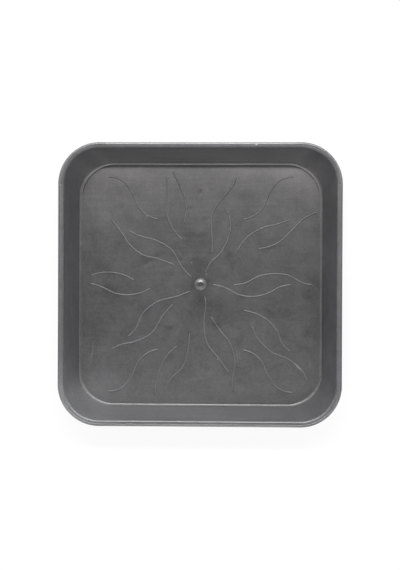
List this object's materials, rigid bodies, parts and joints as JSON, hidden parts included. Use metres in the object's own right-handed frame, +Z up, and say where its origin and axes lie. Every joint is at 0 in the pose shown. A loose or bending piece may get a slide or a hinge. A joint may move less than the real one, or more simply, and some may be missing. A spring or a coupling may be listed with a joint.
{
  "type": "square plant saucer",
  "caption": "Square dark grey moulded plastic saucer with rounded corners, flared wall, rolled rim and wavy raised floor ribs, to stand under a plant pot.",
  "frame": {"origin": "middle of the footprint, on the surface that the saucer stands on", "axes": "+Z up out of the open top, +X to the right and +Y to the back of the picture"},
  "size_m": [0.3, 0.3, 0.038],
  "materials": {
    "saucer_plastic": "dark grey polypropylene, satin, with a fine grain and light wear"
  },
  "bodies": {
    "root": {"tray": "saucer_plastic", "gate_boss": "saucer_plastic", "rib_corner_back_left": "saucer_plastic", "rib_corner_back_right": "saucer_plastic", "rib_corner_front_left": "saucer_plastic", "rib_corner_front_right": "saucer_plastic", "rib_back_left_outer": "saucer_plastic", "rib_back_left_inner": "saucer_plastic", "rib_back_right_outer": "saucer_plastic", "rib_back_right_inner": "saucer_plastic", "rib_right_back_outer": "saucer_plastic", "rib_right_back_inner": "saucer_plastic", "rib_right_outer": "saucer_plastic", "rib_right_inner": "saucer_plastic", "rib_right_front_outer": "saucer_plastic", "rib_right_front_inner": "saucer_plastic", "rib_front_right_outer": "saucer_plastic", "rib_front_right_inner": "saucer_plastic", "rib_front_left_inner": "saucer_plastic", "rib_front_left_outer": "saucer_plastic", "rib_left_front_outer": "saucer_plastic", "rib_left_front_inner": "saucer_plastic", "rib_left_inner": "saucer_plastic", "rib_left_outer": "saucer_plastic", "rib_left_back_outer": "saucer_plastic", "rib_left_back_inner": "saucer_plastic"}
  },
  "joints": []
}
